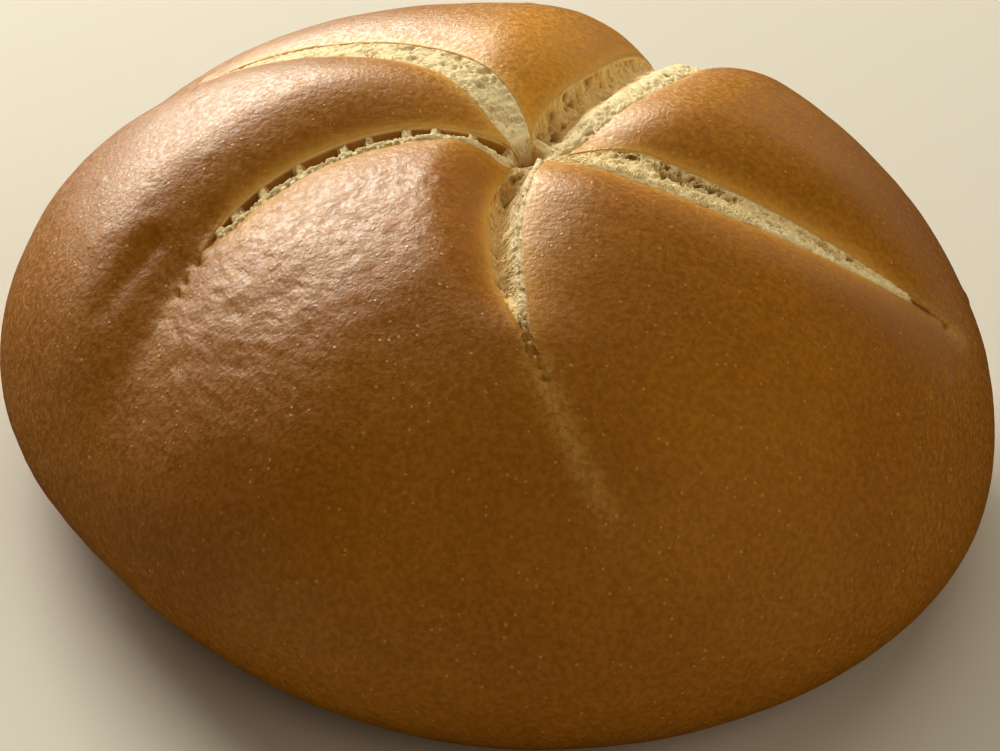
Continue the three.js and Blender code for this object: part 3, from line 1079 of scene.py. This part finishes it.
def thread_tree(material):
    """A round, tapered thread along each path."""
    bench, given = geometry_tree("torn_threads", ())
    paths = bench.place("GeometryNodeMeshToCurve", {"Mesh": given["Geometry"]}).outputs[0]
    sockets = {"Resolution": THREAD_SIDES, "Radius": 1.0}
    section = bench.place("GeometryNodeCurvePrimitiveCircle", sockets).outputs[0]
    sockets = {"Curve": paths, "Profile Curve": section, "Fill Caps": True}
    tubes = bench.place("GeometryNodeCurveToMesh", sockets)
    bench.feed(tubes.inputs["Scale"], bench.mark("thread_radius"))
    smooth = bench.place("GeometryNodeSetShadeSmooth", {"Geometry": tubes.outputs[0]})
    return end_tree(bench, smooth.outputs[0], material)


class KAISER_OT_threads(bpy.types.Operator):
    """Builds the torn threads of crumb along the lips of the slits"""

    bl_idname = "kaiser.threads"
    bl_label = "Crumb Threads"

    def execute(self, context):
        settings = context.scene.kaiser_roll
        piece = link_object("crumb_threads", thread_mesh(settings))
        shape_by(piece, thread_tree(bpy.data.materials["torn_crumb"]), {})
        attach(piece, "root")
        return {"FINISHED"}


# The stage

CAMERA_ELEVATION, CAMERA_ROLL = 36.2, 4.4
CAMERA_DISTANCE = 600.0
PIXELS_PER_MM = 9.56
IMAGE_WIDTH, IMAGE_HEIGHT = 1000, 751
AIM_POINT, AIM_PIXEL = (0.0, 0.0, 22.0), (518.1, 333.6)
SENSOR_WIDTH = 36.0
FLOOR_HALF, FLOOR_COLOUR, FLOOR_ROUGHNESS = 3.0, (0.72, 0.69, 0.64, 1.0), 0.8
ROOM_COLOUR, ROOM_STRENGTH = (1.0, 0.84, 0.62, 1.0), 0.04


class Lamp(NamedTuple):
    """A soft square light, placed as seen from the roll. It gives either shine or plain light."""

    azimuth: float
    elevation: float
    distance: float
    size: float
    watts: float
    colour: tuple
    shine: bool = False


LAMPS = {
    "key": Lamp(124, 25, 0.7, 0.36, 5.4, (1.0, 0.93, 0.78)),
    "sheen": Lamp(123, 24, 0.7, 0.48, 11.8, (0.97, 1.0, 0.88), shine=True),
    "haze": Lamp(58, 12, 1.4, 1.0, 1.2, (0.9, 0.95, 1.0), shine=True),
    "fill": Lamp(90, 63, 1.4, 1.4, 7.6, (1.0, 0.95, 0.72)),
    "side": Lamp(-20, 25, 1.4, 1.4, 5.0, (1.0, 0.9, 0.68)),
    "front_fill": Lamp(270, 40, 1.4, 1.4, 3.2, (1.0, 0.86, 0.62)),
}


def add_camera():
    tilt, roll = math.radians(CAMERA_ELEVATION), math.radians(CAMERA_ROLL)
    back = Vector((0, -math.cos(tilt), math.sin(tilt)))
    level, upright = Vector((1, 0, 0)), Vector((0, math.sin(tilt), math.cos(tilt)))
    right = level * math.cos(roll) + upright * math.sin(roll)
    up = upright * math.cos(roll) - level * math.sin(roll)
    across = (IMAGE_WIDTH / 2 - AIM_PIXEL[0]) / PIXELS_PER_MM
    above = (AIM_PIXEL[1] - IMAGE_HEIGHT / 2) / PIXELS_PER_MM
    target = Vector(AIM_POINT) + right * across + up * above
    camera = bpy.data.cameras.new("camera")
    camera.sensor_width = SENSOR_WIDTH
    camera.lens = PIXELS_PER_MM * CAMERA_DISTANCE * SENSOR_WIDTH / IMAGE_WIDTH
    holder = link_object("camera", camera)
    pose = Matrix((right, up, back)).transposed().to_4x4()
    pose.translation = (target + back * CAMERA_DISTANCE) * MM
    holder.matrix_world = pose
    camera.clip_start = 0.01
    bpy.context.scene.camera = holder


def add_light(name, lamp):
    """A light that faces the roll from its azimuth, counted from +X, and its elevation."""
    light = bpy.data.lights.new(name, "AREA")
    light.energy, light.size, light.color = lamp.watts, lamp.size, lamp.colour
    holder = link_object(name, light)
    turn, rise = math.radians(lamp.azimuth), math.radians(lamp.elevation)
    level = math.cos(rise)
    direction = Vector((level * math.cos(turn), level * math.sin(turn), math.sin(rise)))
    holder.location = direction * lamp.distance
    holder.rotation_mode = "QUATERNION"
    holder.rotation_quaternion = direction.to_track_quat("Z", "Y")
    holder.visible_glossy, holder.visible_diffuse = lamp.shine, not lamp.shine


def add_floor():
    mesh = bpy.data.meshes.new("floor")
    signs = ((-1, -1), (1, -1), (1, 1), (-1, 1))
    mesh.from_pydata([(x * FLOOR_HALF, y * FLOOR_HALF, 0) for x, y in signs], [], [(0, 1, 2, 3)])
    material, _, shader = start_material("pale_floor")
    shader.inputs["Base Color"].default_value = FLOOR_COLOUR
    shader.inputs["Roughness"].default_value = FLOOR_ROUGHNESS
    mesh.materials.append(material)
    floor = link_object("floor", mesh)
    floor.visible_glossy = False
    floor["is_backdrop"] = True


def add_world(scene):
    world = bpy.data.worlds.new("studio")
    scene.world = world
    world.use_nodes = True
    background = world.node_tree.nodes["Background"]
    background.inputs["Color"].default_value = ROOM_COLOUR
    background.inputs["Strength"].default_value = ROOM_STRENGTH
    world.cycles_visibility.glossy = False


class KAISER_OT_stage(bpy.types.Operator):
    """Sets up the floor, the light and the camera"""

    bl_idname = "kaiser.stage"
    bl_label = "Stage"

    def execute(self, context):
        add_floor()
        for name, lamp in LAMPS.items():
            add_light(name, lamp)
        add_world(context.scene)
        context.scene.view_settings.view_transform = "Standard"
        add_camera()
        return {"FINISHED"}


class KAISER_PT_panel(bpy.types.Panel):
    """Lists the roll's pieces and settings."""

    bl_label = "Kaiser Roll"
    bl_space_type = "VIEW_3D"
    bl_region_type = "UI"
    bl_category = "Kaiser Roll"

    def draw(self, context):
        for operator in OPERATORS:
            self.layout.operator(operator.bl_idname)
        for name in KaiserRollSettings.__annotations__:
            self.layout.prop(context.scene.kaiser_roll, name)


OPERATORS = (KAISER_OT_crust, KAISER_OT_crumb, KAISER_OT_threads, KAISER_OT_stage)
CLASSES = (KaiserRollSettings, *OPERATORS, KAISER_PT_panel)


def register():
    for each in CLASSES:
        bpy.utils.register_class(each)
    bpy.types.Scene.kaiser_roll = PointerProperty(type=KaiserRollSettings)


def unregister():
    del bpy.types.Scene.kaiser_roll
    for each in reversed(CLASSES):
        bpy.utils.unregister_class(each)


def main():
    register()
    bpy.ops.kaiser.crust()
    bpy.ops.kaiser.crumb()
    bpy.ops.kaiser.threads()
    bpy.ops.kaiser.stage()
    boxes = {"cad": CAD_BOX, "visual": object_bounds()}
    {name: [list(corner) for corner in box] for name, box in boxes.items()}


if __name__ == "__main__":
    main()
